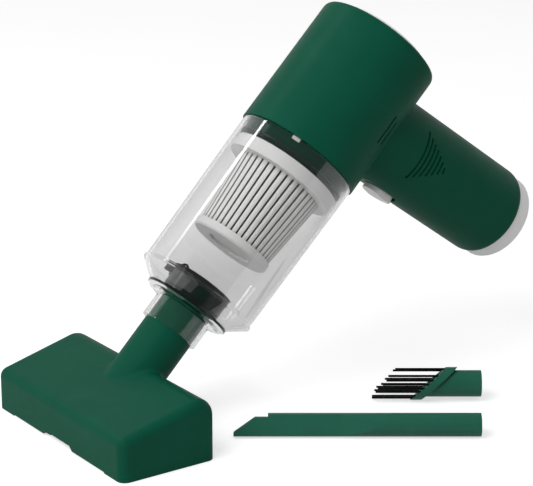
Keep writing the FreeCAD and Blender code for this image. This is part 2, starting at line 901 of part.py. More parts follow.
flap_face = flap_base + size.flap_thickness
flap_disc = turned("flap_disc", [
    (ZERO, flap_base),
    (flap_radius, flap_base),
    (flap_radius, flap_face + size.flap_rim_height),
    (flap_radius - size.flap_rim_width, flap_face + size.flap_rim_height),
    (flap_radius - size.flap_rim_width, flap_face),
    (ZERO, flap_face),
])
knuckle_half = size.flap_knuckle_length / 2
arm_start = flap_radius - size.flap_arm_overlap
eyelet_at = (
    hinge_radius - size.eyelet_inset,
    size.eyelet_offset,
    flap_face + size.eyelet_radius,
)
flap_fittings = turn_group("flap_fittings", [
    box("flap_arm", hinge_radius - arm_start, size.flap_knuckle_length,
        size.flap_arm_thickness, (arm_start, -knuckle_half, flap_base)),
    cylinder("flap_knuckle", size.flap_knuckle_radius, size.flap_knuckle_length,
             (hinge_radius, knuckle_half, hinge_station), "x", QUARTER),
    torus("flap_eyelet", size.eyelet_radius, size.eyelet_wire_radius, eyelet_at, "x", QUARTER),
], size.flap_hinge_angle)
knuckle_bore = turn_group("flap_knuckle_bore", [
    cylinder("flap_knuckle_bore_bar", size.flap_pin_radius + size.pin_fit, pin_length, pin_at, "x", QUARTER),
], size.flap_hinge_angle)
flap = cut("flap_bored", fuse("flap_whole", [flap_disc, flap_fittings]), [knuckle_bore])
node("flap_valve", flap, barrel)


# Filter: lower cap, pleated cone, upper ring and gasket

filter_cap = turned("filter_cap_body", [
    (ZERO, filter_station + size.filter_cap_recess_depth),
    (size.filter_cap_recess_radius, filter_station + size.filter_cap_recess_depth),
    (size.filter_cap_recess_radius, filter_station),
    (size.filter_cap_radius - size.filter_cap_edge, filter_station),
    (size.filter_cap_radius, filter_station + size.filter_cap_edge),
    (size.filter_cap_radius, filter_cap_top),
    (ZERO, filter_cap_top),
])
filter_mark_reach = size.filter_cap_recess_radius - size.filter_cap_mark_inset
filter_mark = cylinder(
    "filter_mark", size.filter_cap_mark_radius, size.filter_cap_recess_depth + size.filter_cap_mark_depth,
    (filter_mark_reach * cosine(size.filter_cap_mark_angle),
     filter_mark_reach * sine(size.filter_cap_mark_angle), filter_station))
node("filter_end_cap", cut("filter_cap_marked", filter_cap, [filter_mark]), barrel)


# The cup's inner wall leans out from its corner to its top.
cup_spread = size.cup_top_radius - size.cup_base_radius
ring_share = (ring_station - corner_top) / (cup_top - corner_top)
filter_ring_radius = size.cup_base_radius - size.cup_wall + cup_spread * ring_share - size.filter_ring_gap
spigot_outer = collar_bore - size.filter_fit
spigot_inner = spigot_outer - size.filter_spigot_wall
pleat_base_radius = size.filter_cap_radius - size.pleat_base_inset
pleat_top_radius = filter_ring_radius - size.pleat_top_inset
filter_ring_bore = pleat_top_radius - size.filter_ring_seat


def pleated_section(radius, depth, wall, count, station):
    """A closed zigzag ring: pleat tips outside, the same wave inside."""
    rings = []
    for reach in (0.0, wall):
        points = []
        for step in range(2 * count):
            turn = math.pi * step / count
            distance = radius - reach - (depth if step % 2 else 0.0)
            points.append(FreeCAD.Vector(distance * math.cos(turn), distance * math.sin(turn), station))
        rings.append(Part.makePolygon(points + points[:1]))
    return rings


def pleated_cone():
    """The filter paper, its pleats running straight from the cap to the ring."""
    count = int(size.pleat_count.value)
    depth = size.pleat_depth.value
    wall = size.pleat_wall.value
    low = pleated_section(pleat_base_radius.value, depth, wall, count, filter_cap_top.value)
    high = pleated_section(pleat_top_radius.value, depth, wall, count, ring_station.value)
    outer = Part.makeLoft([low[0], high[0]], True, True)
    inner = Part.makeLoft([low[1], high[1]], True, True)
    return outer.cut(inner)


pleats = doc.addObject("Part::Feature", "filter_pleats_shape")
pleats.Shape = pleated_cone()
node("filter_pleats", pleats, barrel)

spigot_top = ring_top + size.filter_spigot_height
filter_ring = turned("filter_ring_body", [
    (filter_ring_bore, ring_station),
    (filter_ring_radius, ring_station),
    (filter_ring_radius, ring_top),
    (spigot_outer, ring_top),
    (spigot_outer, spigot_top),
    (spigot_inner, spigot_top),
    (spigot_inner, ring_station + size.filter_spigot_wall),
    (filter_ring_bore, ring_station + size.filter_spigot_wall),
])
node("filter_top_ring", filter_ring, barrel)

gasket = turned("gasket_body", [
    (spigot_outer + size.gasket_gap, ring_top),
    (filter_ring_radius - size.seat_gap, ring_top),
    (filter_ring_radius - size.seat_gap, ring_top + size.gasket_height),
    (spigot_outer + size.gasket_gap, ring_top + size.gasket_height),
])
node("filter_gasket", gasket, barrel)


# Motor housing with its neck collar and top cap

seal_base = collar_base + size.collar_seal_offset
seal_end = seal_base + size.collar_seal_height
seal_depth_radius = collar_radius - size.collar_seal_depth
flange_base = size.housing_station + size.seat_gap
flange_radius = housing_bore - size.seat_gap
flange_top = flange_base + size.collar_flange_height
collar = turned("collar_body", [
    (collar_bore, collar_base),
    (collar_radius, collar_base),
    (collar_radius, seal_base),
    (seal_depth_radius, seal_base),
    (seal_depth_radius, seal_end),
    (collar_radius, seal_end),
    (collar_radius, flange_base),
    (flange_radius, flange_base),
    (flange_radius, flange_top),
    (collar_radius, flange_top),
    (collar_radius, collar_top),
    (collar_bore, collar_top),
])
node("neck_collar", collar, barrel)

collar_seal = turned("collar_seal_body", [
    (seal_depth_radius, seal_base),
    (collar_radius + size.collar_seal_reach, seal_base),
    (collar_radius + size.collar_seal_reach, seal_end),
    (seal_depth_radius, seal_end),
])
node("collar_seal", collar_seal, barrel)

housing_top = size.housing_station + size.housing_length
lip_base = housing_top - size.housing_lip_height
top_cap_radius = housing_radius - size.housing_edge_inset - size.top_cap_inset
skirt_radius = top_cap_radius - size.top_cap_skirt_inset
skirt_bore = skirt_radius - size.top_cap_skirt_wall
cap_hole = skirt_radius + size.seat_gap
edge_inset = size.housing_edge_inset
edge_drop = size.housing_edge_drop
housing_edge = [
    (housing_radius - edge_inset * in_share, housing_top - edge_drop * low_share)
    for in_share, low_share in HOUSING_EDGE_SHARES
]
housing_turned = turned("housing_turned", [
    (housing_bore, size.housing_station),
    (housing_radius, size.housing_station),
    (housing_radius, housing_top - edge_drop),
] + housing_edge + [
    (housing_radius - edge_inset, housing_top),
    (cap_hole, housing_top),
    (cap_hole, lip_base),
    (housing_bore, lip_base - size.housing_lip_height),
])
handle_port = cylinder(
    "handle_port", size.handle_port_radius, housing_radius + size.handle_radius / 2,
    (ZERO, ZERO, grip_station), "y", grip_angle)
vents = []
vent_start = housing_bore - size.cut_overrun
vent_station = grip_station + size.vent_offset
vent_depth = size.housing_wall + size.cut_overrun * 2
for name, length, angle in (
    ("long", size.vent_long, size.vent_long_angle),
    ("short", size.vent_short, size.vent_short_angle),
):
    for side, turn in (("near", -angle), ("far", angle)):
        half = size.vent_width / 2
        at = (
            vent_start * cosine(turn) + half * sine(turn),
            vent_start * sine(turn) - half * cosine(turn),
            vent_station - length / 2,
        )
        vents.append(box(f"vent_{name}_{side}", vent_depth, size.vent_width, length, at, "z", turn))
node("motor_housing", cut("housing_opened", housing_turned, [handle_port] + vents), barrel)

cap_top = housing_top + size.top_cap_height
skirt_base = housing_top - size.top_cap_skirt_depth
top_cap = turned("top_cap_body", [
    (skirt_bore, skirt_base),
    (skirt_radius, skirt_base),
    (skirt_radius, housing_top),
    (top_cap_radius, housing_top),
    (top_cap_radius, cap_top - size.top_cap_crown),
    (top_cap_radius - size.top_cap_crown, cap_top),
    (top_cap_radius / 2, cap_top + size.top_cap_crown * TOP_CAP_CROWN_SHARE),
    (ZERO, cap_top + size.top_cap_crown),
    (ZERO, housing_top),
    (skirt_bore, housing_top),
])
node("top_cap", top_cap, barrel)

mark_start = collar_radius - size.index_mark_depth
mark_turn = -size.index_mark_angle
mark_half = size.index_mark_width / 2
mark_at = (
    mark_start * cosine(mark_turn) + mark_half * sine(mark_turn),
    mark_start * sine(mark_turn) - mark_half * cosine(mark_turn),
    flange_base - size.index_mark_height - size.seat_gap,
)
mark = box("index_mark_block", size.index_mark_depth * 2, size.index_mark_width,
           size.index_mark_height, mark_at, "z", mark_turn)
mark_fit = cylinder("index_mark_fit", collar_radius, size.housing_station)
node("index_mark", cut("index_mark_cut", mark, [mark_fit]), barrel)


# Fan and motor

shroud_floor = collar_top + size.shroud_wall
mount_station = collar_top + size.shroud_height
shroud_radius = housing_bore - size.seat_gap
shroud = turned("shroud_body", [
    (size.shroud_inlet_radius, collar_top),
    (shroud_radius, collar_top),
    (shroud_radius, mount_station),
    (shroud_radius - size.shroud_wall, mount_station),
    (shroud_radius - size.shroud_wall, shroud_floor),
    (size.shroud_inlet_radius, shroud_floor),
])
node("fan_shroud", shroud, barrel)

mount_top = mount_station + size.mount_thickness
mount = turned("mount_body", [
    (size.mount_bore_radius, mount_station),
    (shroud_radius, mount_station),
    (shroud_radius, mount_top),
    (size.mount_bore_radius, mount_top),
])
mount_cuts = []
vent_count = int(size.mount_vent_count.value)
vent_circle = size.motor_radius + size.mount_vent_reach
screw_circle = size.motor_radius - size.motor_screw_inset
for row in range(vent_count):
    turn = as_size(360) * row / size.mount_vent_count
    mount_cuts.append(cylinder(
        f"mount_vent_{row}", size.mount_vent_radius, size.mount_thickness + size.cut_overrun * 2,
        (vent_circle * cosine(turn), vent_circle * sine(turn), mount_station - size.cut_overrun)))
screw_places = [(screw_circle, ZERO), (-screw_circle, ZERO)]
for row, (x, y) in enumerate(screw_places):
    mount_cuts.append(cylinder(
        f"mount_screw_hole_{row}", size.motor_screw_radius, size.mount_thickness + size.cut_overrun * 2,
        (x, y, mount_station - size.cut_overrun)))
node("motor_mount", cut("mount_drilled", mount, mount_cuts), barrel)

motor_end = mount_top + size.motor_length
bearing_bore = size.motor_bearing_radius
can = turned("motor_can_body", [
    (bearing_bore, mount_top),
    (size.motor_radius, mount_top),
    (size.motor_radius, motor_end),
    (size.motor_radius - size.motor_wall, motor_end),
    (size.motor_radius - size.motor_wall, mount_top + size.motor_bearing_height),
    (bearing_bore, mount_top + size.motor_bearing_height),
])
can_holes = [
    cylinder(f"can_screw_hole_{row}", size.motor_screw_radius, size.motor_bearing_height,
             (x, y, mount_top - size.seat_gap))
    for row, (x, y) in enumerate(screw_places)
]
node("motor_can", cut("motor_can_drilled", can, can_holes), barrel)

bell_top = motor_end + size.end_bell_height
bell_radius = size.motor_radius - size.end_bell_inset
end_bell = turned("end_bell_body", [
    (bearing_bore, motor_end),
    (size.motor_radius, motor_end),
    (size.motor_radius, motor_end + size.motor_wall),
    (bell_radius, motor_end + size.motor_wall),
    (bell_radius, bell_top),
    (bearing_bore, bell_top),
])
node("motor_end_bell", end_bell, barrel)

bearings = []
bearing_hole = size.shaft_radius + size.pin_fit
for name, base, height in (
    ("lower", mount_top, size.motor_bearing_height),
    ("upper", motor_end, size.end_bell_height),
):
    bearings.append(turned(f"{name}_bearing", [
        (bearing_hole, base),
        (bearing_bore, base),
        (bearing_bore, base + height),
        (bearing_hole, base + height),
    ]))
node("motor_bearings", fuse("motor_bearing_pair", bearings), barrel)

motor_screws = []
for row, (x, y) in enumerate(screw_places):
    low = mount_station - size.motor_screw_head_height
    motor_screws.append(fuse(f"motor_screw_{row}", [
        cylinder(f"motor_screw_head_{row}", size.motor_screw_head_radius,
                 size.motor_screw_head_height, (x, y, low)),
        cylinder(f"motor_screw_shank_{row}", size.motor_screw_radius, size.motor_screw_length, (x, y, low)),
    ]))
node("motor_screws", fuse("motor_screw_pair", motor_screws), barrel)

core_base = mount_top + size.rotor_core_inset
core_top = motor_end - size.rotor_core_inset / 2
core_radius = size.motor_radius - size.motor_wall - size.rotor_core_gap
hub_base = shroud_floor + size.impeller_floor_gap
hub_top = mount_station - size.motor_screw_head_height - size.impeller_head_gap
shaft = turned("shaft_body", [
    (ZERO, hub_base - size.shaft_base_reach),
    (size.shaft_radius, hub_base - size.shaft_base_reach),
    (size.shaft_radius, core_base),
    (core_radius, core_base),
    (core_radius, core_top),
    (size.shaft_radius, core_top),
    (size.shaft_radius, bell_top + size.shaft_base_reach),
    (ZERO, bell_top + size.shaft_base_reach),
])
node("motor_shaft", shaft, barrel)

plate_base = hub_top - size.impeller_plate
impeller_radius = shroud_radius - size.shroud_wall - size.impeller_tip_gap
impeller = new_body("impeller_body")
impeller_profile = outline(impeller, "impeller_profile", "XZ_Plane", [
    (size.shaft_radius, hub_base),
    (size.impeller_hub_radius, hub_base),
    (size.impeller_hub_radius, plate_base),
    (impeller_radius, plate_base),
    (impeller_radius, hub_top),
    (size.shaft_radius, hub_top),
])
add(impeller, "Revolution", "impeller_disc", impeller_profile)
blade_tip = impeller_radius - size.blade_tip_inset
blade_run = (blade_tip - size.blade_inner_radius) * tangent(size.blade_lean)
blade_outline = outline(impeller, "blade_outline", "XY_Plane", [
    (size.blade_inner_radius, ZERO),
    (blade_tip, blade_run),
    (blade_tip, blade_run + size.blade_thickness),
    (size.blade_inner_radius, size.blade_thickness),
], at=(ZERO, ZERO, hub_base + size.blade_thickness))
blade = add(impeller, "Pad", "blade", blade_outline, hub_top - hub_base - size.blade_thickness * 2)
ring = impeller.newObject("PartDesign::PolarPattern", "blade_ring")
ring.Originals = [blade]
ring.Axis = (blade_outline, ["N_Axis"])
ring.Angle = 360
ring.setExpression("Occurrences", "Sizes.blade_count")
impeller.Tip = ring
node("fan_impeller", impeller, barrel)


# Handle: a tube that meets the barrel, with its grooves, button recess and end cap

handle_end_radius = size.handle_radius - size.handle_edge_inset
edge_start = size.handle_length - size.handle_edge_drop
handle_edge = [
    (size.handle_radius - size.handle_edge_inset * in_share,
     edge_start + size.handle_edge_drop * up_share)
    for in_share, up_share in HANDLE_EDGE_SHARES
]
handle_tube = turned("handle_tube", [
    (handle_bore, size.handle_start),
    (size.handle_radius, size.handle_start),
    (size.handle_radius, edge_start),
] + handle_edge + [
    (handle_end_radius, size.handle_length),
    (handle_bore, size.handle_length),
])
barrel_reach = size.handle_radius * 3
barrel_cut = cylinder(
    "barrel_cut", housing_radius, barrel_reach * 2,
    (barrel_reach * sine(grip_angle), ZERO, -barrel_reach * cosine(grip_angle)), "y", -grip_angle)
handle_cuts = [barrel_cut]
groove_floor = cylinder(
    "groove_floor", size.handle_radius - size.groove_depth, size.handle_length * 2)
groove_rings = []
for row, share in enumerate(GROOVE_ANGLE_SHARES):
    half = size.groove_fan_angle * share
    station = housing_radius + size.groove_offset + size.groove_pitch * row
    for side, middle in (("near", -QUARTER), ("far", QUARTER)):
        groove_rings.append(cylinder(
            f"groove_{side}_{row}", size.handle_radius + size.cut_overrun, size.groove_width,
            (ZERO, ZERO, station), "z", middle - half, half * 2))
handle_cuts.append(cut("groove_set", fuse("groove_sectors", groove_rings), [groove_floor]))
recess_floor = size.handle_radius - size.recess_depth
recess_end = button_station + size.button_length / 2 + size.recess_margin
handle_cuts.append(pill(
    "button_recess", size.recess_length, size.recess_width, size.recess_depth + size.cut_overrun,
    recess_floor, recess_end - size.recess_length / 2))
opening_length = size.button_length + size.body_gap * 2
opening_width = size.button_width + size.body_gap * 2
handle_cuts.append(pill(
    "button_opening", opening_length, opening_width, size.handle_radius / 2,
    size.handle_radius * BUTTON_OPENING_SHARE, button_station))
node("handle_shell", cut("handle_shaped", handle_tube, handle_cuts), grip)

spigot_radius = handle_bore - size.seat_gap
spigot_start = size.handle_length - size.end_cap_spigot_length
cap_inner = spigot_radius - size.end_cap_wall
cap_edge_in = size.end_cap_edge * END_CAP_EDGE_SHARE
end_cap_radius = handle_end_radius - size.end_cap_step
end_cap = turned("end_cap_body", [
    (cap_inner, spigot_start),
    (spigot_radius, spigot_start),
    (spigot_radius, size.handle_length),
    (end_cap_radius, size.handle_length),
    (end_cap_radius, cap_end - size.end_cap_edge),
    (end_cap_radius - cap_edge_in, cap_end - cap_edge_in),
    (end_cap_radius - size.end_cap_edge, cap_end),
    (ZERO, cap_end),
    (ZERO, cap_end - size.end_cap_wall),
    (cap_inner, cap_end - size.end_cap_wall),
])
# Board, cells and tray stack up from the cells towards the button side, which is +X here.
cell_centre = -size.cell_offset
tray_base = cell_centre + size.cell_radius + size.seat_gap
tray_face = tray_base + size.tray_thickness
board_base = tray_face + size.standoff_height
board_face = board_base + size.board_thickness
tray_station = housing_radius + size.tray_offset
socket_start_station = cap_end - size.end_cap_wall - size.body_gap - size.socket_depth
board_length = socket_start_station + size.socket_seat_length - tray_station
port_width = size.socket_width + size.port_margin * 2
port_height = size.socket_height + size.port_margin * 2
port_start = cap_end - size.end_cap_wall - size.cut_overrun
port = box("charging_port", port_height, port_width, size.end_cap_wall + size.cut_overrun * 2,
           (board_face - size.port_margin, -port_width / 2, port_start))
node("handle_end_cap", cut("end_cap_ported", end_cap, [port]), grip)

# Power button: a white pill that slides into the handle, with a flange inside and a plunger
button_flange_top = handle_bore - size.button_flange_drop
flange_start = button_flange_top - size.button_flange_height
button_height = button_top_radius - flange_start
button_bar = pill("button_bar", size.button_length, size.button_width, button_height,
                  flange_start, button_station)
flange_bar = pill("button_flange_bar", size.button_length + size.button_flange * 2,
                  size.button_width + size.button_flange * 2, size.button_flange_height,
                  flange_start, button_station)
switch_top = board_face + size.switch_height
plunger_base = switch_top + size.button_travel + size.body_gap
plunger_length = flange_start + size.button_flange_height - plunger_base
plunger = cylinder("button_plunger", size.plunger_radius, plunger_length,
                   (plunger_base, ZERO, button_station), "y", QUARTER)
button_slope_cut = new_body("button_slope_body")
slope_low = button_station - size.button_length / 2 - size.cut_overrun
slope_side = outline(button_slope_cut, "slope_side", "XZ_Plane", [
    (button_top_radius + size.cut_overrun, slope_low),
    (button_top_radius + size.cut_overrun, button_station),
    (button_top_radius, button_station),
    (button_top_radius - size.button_slope, slope_low),
])
add(button_slope_cut, "Pad", "slope_wedge", slope_side, size.button_width * 2, both_ways=True)
button = cut("button_sloped", fuse("button_whole", [button_bar, flange_bar, plunger]), [button_slope_cut])
node("power_button", button, grip)

# Inside the handle
tray_length = size.handle_length - size.tray_setback - tray_station
cell_length = tray_length - (size.tray_end_thickness + size.cell_end_gap) * 2
cell_station = tray_station + size.tray_end_thickness + size.cell_end_gap
cell_side = size.cell_radius + size.cell_gap / 2
cell_bars = []
for side, offset in (("near", -cell_side), ("far", cell_side)):
    cell_bars.append(fuse(f"cell_{side}", [
        cylinder(f"cell_can_{side}", size.cell_radius, cell_length - size.cell_terminal_height,
                 (cell_centre, offset, cell_station)),
        cylinder(f"cell_terminal_{side}", size.cell_terminal_radius, cell_length,
                 (cell_centre, offset, cell_station)),
    ]))
node("battery_cells", fuse("cell_pair", cell_bars), grip)

tray_limit = size.handle_radius - size.handle_wall - size.tray_wall_gap
tray_corner_share = tray_face / tray_limit
tray_half = tray_limit * as_size(math.sqrt(1.0 - tray_corner_share.value ** 2))
tray_end = tray_station + tray_length
tray_plate = box("tray_plate", size.tray_thickness, tray_half * 2, tray_length,
                 (tray_base, -tray_half, tray_station))
tray_walls = []
for name, at in (("inner", tray_station), ("outer", tray_end - size.tray_end_thickness)):
    tray_walls.append(box(
        f"tray_{name}_wall", size.tray_end_depth, size.tray_end_width, size.tray_end_thickness,
        (tray_base - size.tray_end_depth, -size.tray_end_width / 2, at)))
standoffs = []
for row, along in enumerate((tray_station + size.standoff_inset, tray_end - size.standoff_inset)):
    for side, across in (
        ("near", size.standoff_inset - size.board_width / 2),
        ("far", size.board_width / 2 - size.standoff_inset),
    ):
        standoffs.append(cylinder(f"standoff_{side}_{row}", size.standoff_radius, size.standoff_height,
                                  (tray_face, across, along), "y", QUARTER))
node("battery_tray", fuse("tray_whole", [tray_plate] + tray_walls + standoffs), grip)

board = box("board_slab", size.board_thickness, size.board_width, board_length,
            (board_base, -size.board_width / 2, tray_station))
node("control_board", fuse("board_carried", [board]), grip)

switch_half = size.switch_side / 2
switch = fuse("switch_whole", [
    box("switch_case", size.switch_height - size.plunger_radius / 2, size.switch_side, size.switch_side,
        (board_face, -switch_half, button_station - switch_half)),
    cylinder("switch_stem", size.plunger_radius, size.switch_height,
             (board_face, ZERO, button_station), "y", QUARTER),
])
node("power_switch", switch, grip)

socket_block = box("socket_block", size.socket_height, size.socket_width, size.socket_depth,
                   (board_face, -size.socket_width / 2, socket_start_station))
socket_hollow = box(
    "socket_hollow", size.socket_height - size.socket_wall * 2, size.socket_width - size.socket_wall * 2,
    size.socket_depth,
    (board_face + size.socket_wall, size.socket_wall - size.socket_width / 2,
     socket_start_station + size.socket_wall))
node("charging_socket", cut("socket_shape", socket_block, [socket_hollow]), grip)


# Brush tool: round tube, slanted collar and rows of bristles, lying along its own X and rolled a
# little to one side about its axis


def rolled(across, up):
    """A place beside a tool's axis after the tools' roll."""
    turn_sine = sine(size.tool_roll_angle)
    turn_cosine = cosine(size.tool_roll_angle)
    return across * turn_cosine - up * turn_sine, across * turn_sine + up * turn_cosine


brush_height = brush_flange_radius
flange_slant = tangent(size.brush_slope_angle)
flange_lean = brush_flange_radius / flange_slant


def slant(along, across):
    """The sloping face's X at a height measured from the tube's axis."""
    return along + across / flange_slant


flange_middle = size.brush_flange_start + flange_lean
brush_slab = new_body("brush_slab_body")
low = -brush_flange_radius
high = brush_flange_radius
slab_side = outline(brush_slab, "brush_slab_side", "XZ_Plane", [
    (slant(flange_middle, low), low),
    (slant(flange_middle, low) + size.brush_flange_width, low),
    (slant(flange_middle, high) + size.brush_flange_width, high),
    (slant(flange_middle, high), high),
])
add(brush_slab, "Pad", "brush_slab", slab_side, brush_flange_radius * 2, both_ways=True)
place(brush_slab, (ZERO, ZERO, brush_height), "x", size.tool_roll_angle)
flange_bar = cylinder("brush_flange_bar", brush_flange_radius, size.brush_length,
                      (ZERO, ZERO, brush_height), "y", QUARTER)
brush_flange = common("brush_flange", [brush_slab, flange_bar])
tube_side = new_body("brush_tube_side_body")
tube_side_outline = outline(tube_side, "brush_tube_side", "XZ_Plane", [
    (slant(flange_middle, low) + size.brush_flange_width / 2, low),
    (size.brush_length, low),
    (size.brush_length, high),
    (slant(flange_middle, high) + size.brush_flange_width / 2, high),
])
add(tube_side, "Pad", "brush_tube_side_pad", tube_side_outline, brush_flange_radius * 2, both_ways=True)
place(tube_side, (ZERO, ZERO, brush_height), "x", size.tool_roll_angle)
brush_bar = cylinder("brush_bar", size.brush_tube_radius, size.brush_length,
                     (ZERO, ZERO, brush_height), "y", QUARTER)
brush_tube = common("brush_tube", [tube_side, brush_bar])
brush_bore_radius = size.brush_tube_radius - size.brush_tube_wall
brush_bore = cylinder("brush_bore", brush_bore_radius, size.brush_length * 2,
                      (ZERO, ZERO, brush_height), "y", QUARTER)
brush_solid = fuse("brush_solid", [brush_flange, brush_tube])
tuft_circle = brush_flange_radius - size.tuft_edge - size.tuft_radius
tuft_sockets = []
tufts = []
for side, reach_side, rows in (
    ("near", -tuft_circle, NEAR_TUFT_SHARES),
    ("far", tuft_circle, FAR_TUFT_SHARES),
):
    for row, (angle_share, tip_share) in enumerate(rows):
        up = QUARTER * angle_share
        root = slant(flange_middle, tuft_circle * sine(up)) + size.tuft_root
        tip = size.brush_flange_start * tip_share
        across, rise = rolled(reach_side * cosine(up), tuft_circle * sine(up))
        start = (tip, across, brush_height + rise)
        for kind, group in (("tuft", tufts), ("tuft_hole", tuft_sockets)):
            group.append(cylinder(f"{kind}_{side}_{row}", size.tuft_radius, root - tip, start, "y", QUARTER))
node("brush_body", cut("brush_bored", brush_solid, [brush_bore] + tuft_sockets), brush_place)
node("brush_bristles", fuse("brush_tufts", tufts), brush_place)


# Crevice tool: round tube that flattens into a slanted blade, lying along its own X and rolled as
# the brush tool is

crevice_top = size.crevice_radius
side_block = new_body("crevice_side_body")
side_outline = outline(side_block, "crevice_side", "XZ_Plane", [
    (ZERO, -crevice_top),
    (size.crevice_length, -crevice_top),
    (size.crevice_length, crevice_top),
    (size.tip_step_length, crevice_top),
    (size.tip_step_length, crevice_top - size.tip_step_height),
    (size.tip_slope_length, crevice_top - size.tip_step_height),
    (ZERO, size.tip_height - crevice_top),
])
add(side_block, "Pad", "crevice_side_pad", side_outline, crevice_top * 2, both_ways=True)
place(side_block, (ZERO, ZERO, size.crevice_radius), "x", size.tool_roll_angle)
plan_block = new_body("crevice_plan_body")
fade_end = size.blade_length + size.blade_fade
plan_outline = outline(plan_block, "crevice_plan", "XY_Plane", [
    (ZERO, -size.blade_half_width),
    (size.blade_length, -size.blade_half_width),
    (fade_end, -size.crevice_radius),
    (size.crevice_length, -size.crevice_radius),
    (size.crevice_length, size.crevice_radius),
    (fade_end, size.crevice_radius),
    (size.blade_length, size.blade_half_width),
    (ZERO, size.blade_half_width),
])
add(plan_block, "Pad", "crevice_plan_pad", plan_outline, crevice_top * 2, both_ways=True)
place(plan_block, (ZERO, ZERO, size.crevice_radius), "x", size.tool_roll_angle)
crevice_bar = cylinder("crevice_bar", size.crevice_radius, size.crevice_length,
                       (ZERO, ZERO, size.crevice_radius), "y", QUARTER)
crevice_solid = common("crevice_solid", [side_block, plan_block, crevice_bar])
crevice_bore_radius = size.crevice_radius - size.crevice_wall
crevice_bore = cylinder("crevice_bore", crevice_bore_radius, size.crevice_length,
                        (fade_end, ZERO, size.crevice_radius), "y", QUARTER)
blade_bore_half = size.blade_half_width - size.crevice_wall
blade_bore_rise = crevice_bore_radius * BLADE_BORE_SHARE
bore_across, bore_rise = rolled(-blade_bore_half, -blade_bore_rise)
blade_bore = box(
    "blade_bore", fade_end + size.blade_bore_overlap, blade_bore_half * 2, blade_bore_rise * 2,
    (-size.cut_overrun, bore_across, size.crevice_radius + bore_rise), "x", size.tool_roll_angle)
node("crevice_nozzle", cut("crevice_bored", crevice_solid, [crevice_bore, blade_bore]), crevice_place)


# Check and write

doc.recompute()
for item in doc.Objects:
    if "Invalid" in item.State or "Error" in item.State:
        raise RuntimeError(f"{item.Label} did not build: {item.State}")
for item in NODES:
    if item.Shape.isNull() or not item.Shape.isValid() or not item.Shape.Solids:
        raise RuntimeError(f"{item.Label} is not a sound solid")
os.makedirs("parts", exist_ok=True)
for item in NODES:
    item.Shape.exportStep(f"parts/{item.Label}.step")
    print(item.Label, len(item.Shape.Solids), round(item.Shape.Volume, 1))
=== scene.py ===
"""Looks of the desktop mini vacuum cleaner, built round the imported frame. Metres, +Z up."""
import math

import bmesh
import bpy
from mathutils import Matrix, Vector


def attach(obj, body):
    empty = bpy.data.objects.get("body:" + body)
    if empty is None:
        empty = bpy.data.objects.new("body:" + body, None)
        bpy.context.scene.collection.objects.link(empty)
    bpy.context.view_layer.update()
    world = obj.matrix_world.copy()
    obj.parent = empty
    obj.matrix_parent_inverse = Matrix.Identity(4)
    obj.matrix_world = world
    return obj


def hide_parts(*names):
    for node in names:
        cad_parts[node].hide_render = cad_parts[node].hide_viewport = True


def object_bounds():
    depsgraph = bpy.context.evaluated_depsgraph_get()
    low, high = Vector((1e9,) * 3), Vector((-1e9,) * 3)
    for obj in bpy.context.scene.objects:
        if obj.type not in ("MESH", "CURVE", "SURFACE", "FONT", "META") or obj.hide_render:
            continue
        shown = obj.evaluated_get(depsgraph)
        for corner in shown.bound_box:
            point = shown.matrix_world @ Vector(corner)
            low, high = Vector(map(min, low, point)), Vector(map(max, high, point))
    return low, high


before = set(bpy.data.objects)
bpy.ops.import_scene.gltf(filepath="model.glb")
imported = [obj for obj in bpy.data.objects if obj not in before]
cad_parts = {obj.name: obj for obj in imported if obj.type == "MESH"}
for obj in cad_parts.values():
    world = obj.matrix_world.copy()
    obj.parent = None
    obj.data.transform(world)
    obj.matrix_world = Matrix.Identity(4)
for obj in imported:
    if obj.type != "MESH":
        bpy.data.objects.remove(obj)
cad_low, cad_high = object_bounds()
scene = bpy.context.scene
MM = 0.001


# The frame of the leaning barrel, whose axis the neck, the cup and the housing share

LEAN = math.radians(45.0)
TUBE_OFFSET = 6.45
barrel = Matrix.Translation((-TUBE_OFFSET * MM, 0, 0)) @ Matrix.Rotation(LEAN, 4, "Y")


# Node materials. Noise scales are in cells per metre, bump depths in metres

MOTTLE_CELLS = 60.0
MOTTLE_DETAIL = 4.0
SHEEN_CELLS = 240.0
SHEEN_SPREAD = 0.04
GRAIN_DETAIL = 2.0
FINE_GRAIN = 2600.0
FINE_DEPTH = 0.00001
POLISHED_DEPTH = 0.000004
RUBBER_GRAIN = 1400.0
RUBBER_DEPTH = 0.00003
BOARD_GRAIN = 900.0
DRAWN_LINES = {"scale": 900.0, "detail": 4.0, "roughness": 0.6}
DRAWN_DEPTH = 0.000008
DRAWN_SPREAD = 0.15
DRAWN_SHADE = 0.85
TURNED_STRETCH = (1, 1, 6)
PAPER_FIBRES = {"scale": 900.0, "detail": 6.0, "roughness": 0.7, "stretch": (1, 1, 2.5)}
PAPER_DEPTH = 0.00012
PAPER_STRENGTH = 0.6
PAPER_ROUGHNESS = 0.9
PAPER_SPECULAR = 0.2
PAPER_LOW = (0.84, 0.84, 0.83)
PAPER_HIGH = (0.94, 0.94, 0.93)
FLOW_CELLS = 26.0
FLOW_DETAIL = 2.0
FLOW_SHARE = 0.04
EDGE_START = 0.35
EDGE_END = 0.9
COAT_INDEX = 1.5
PASSED_LIGHT = (0.97, 0.97, 0.97, 1)


def new_material(name):
    """A material with one Principled shader; returns the material, its tree and the shader."""
    material = bpy.data.materials.new(name)
    material.use_nodes = True
    tree = material.node_tree
    tree.nodes.clear()
    output = tree.nodes.new("ShaderNodeOutputMaterial")
    shader = tree.nodes.new("ShaderNodeBsdfPrincipled")
    tree.links.new(shader.outputs["BSDF"], output.inputs["Surface"])
    return material, tree, shader


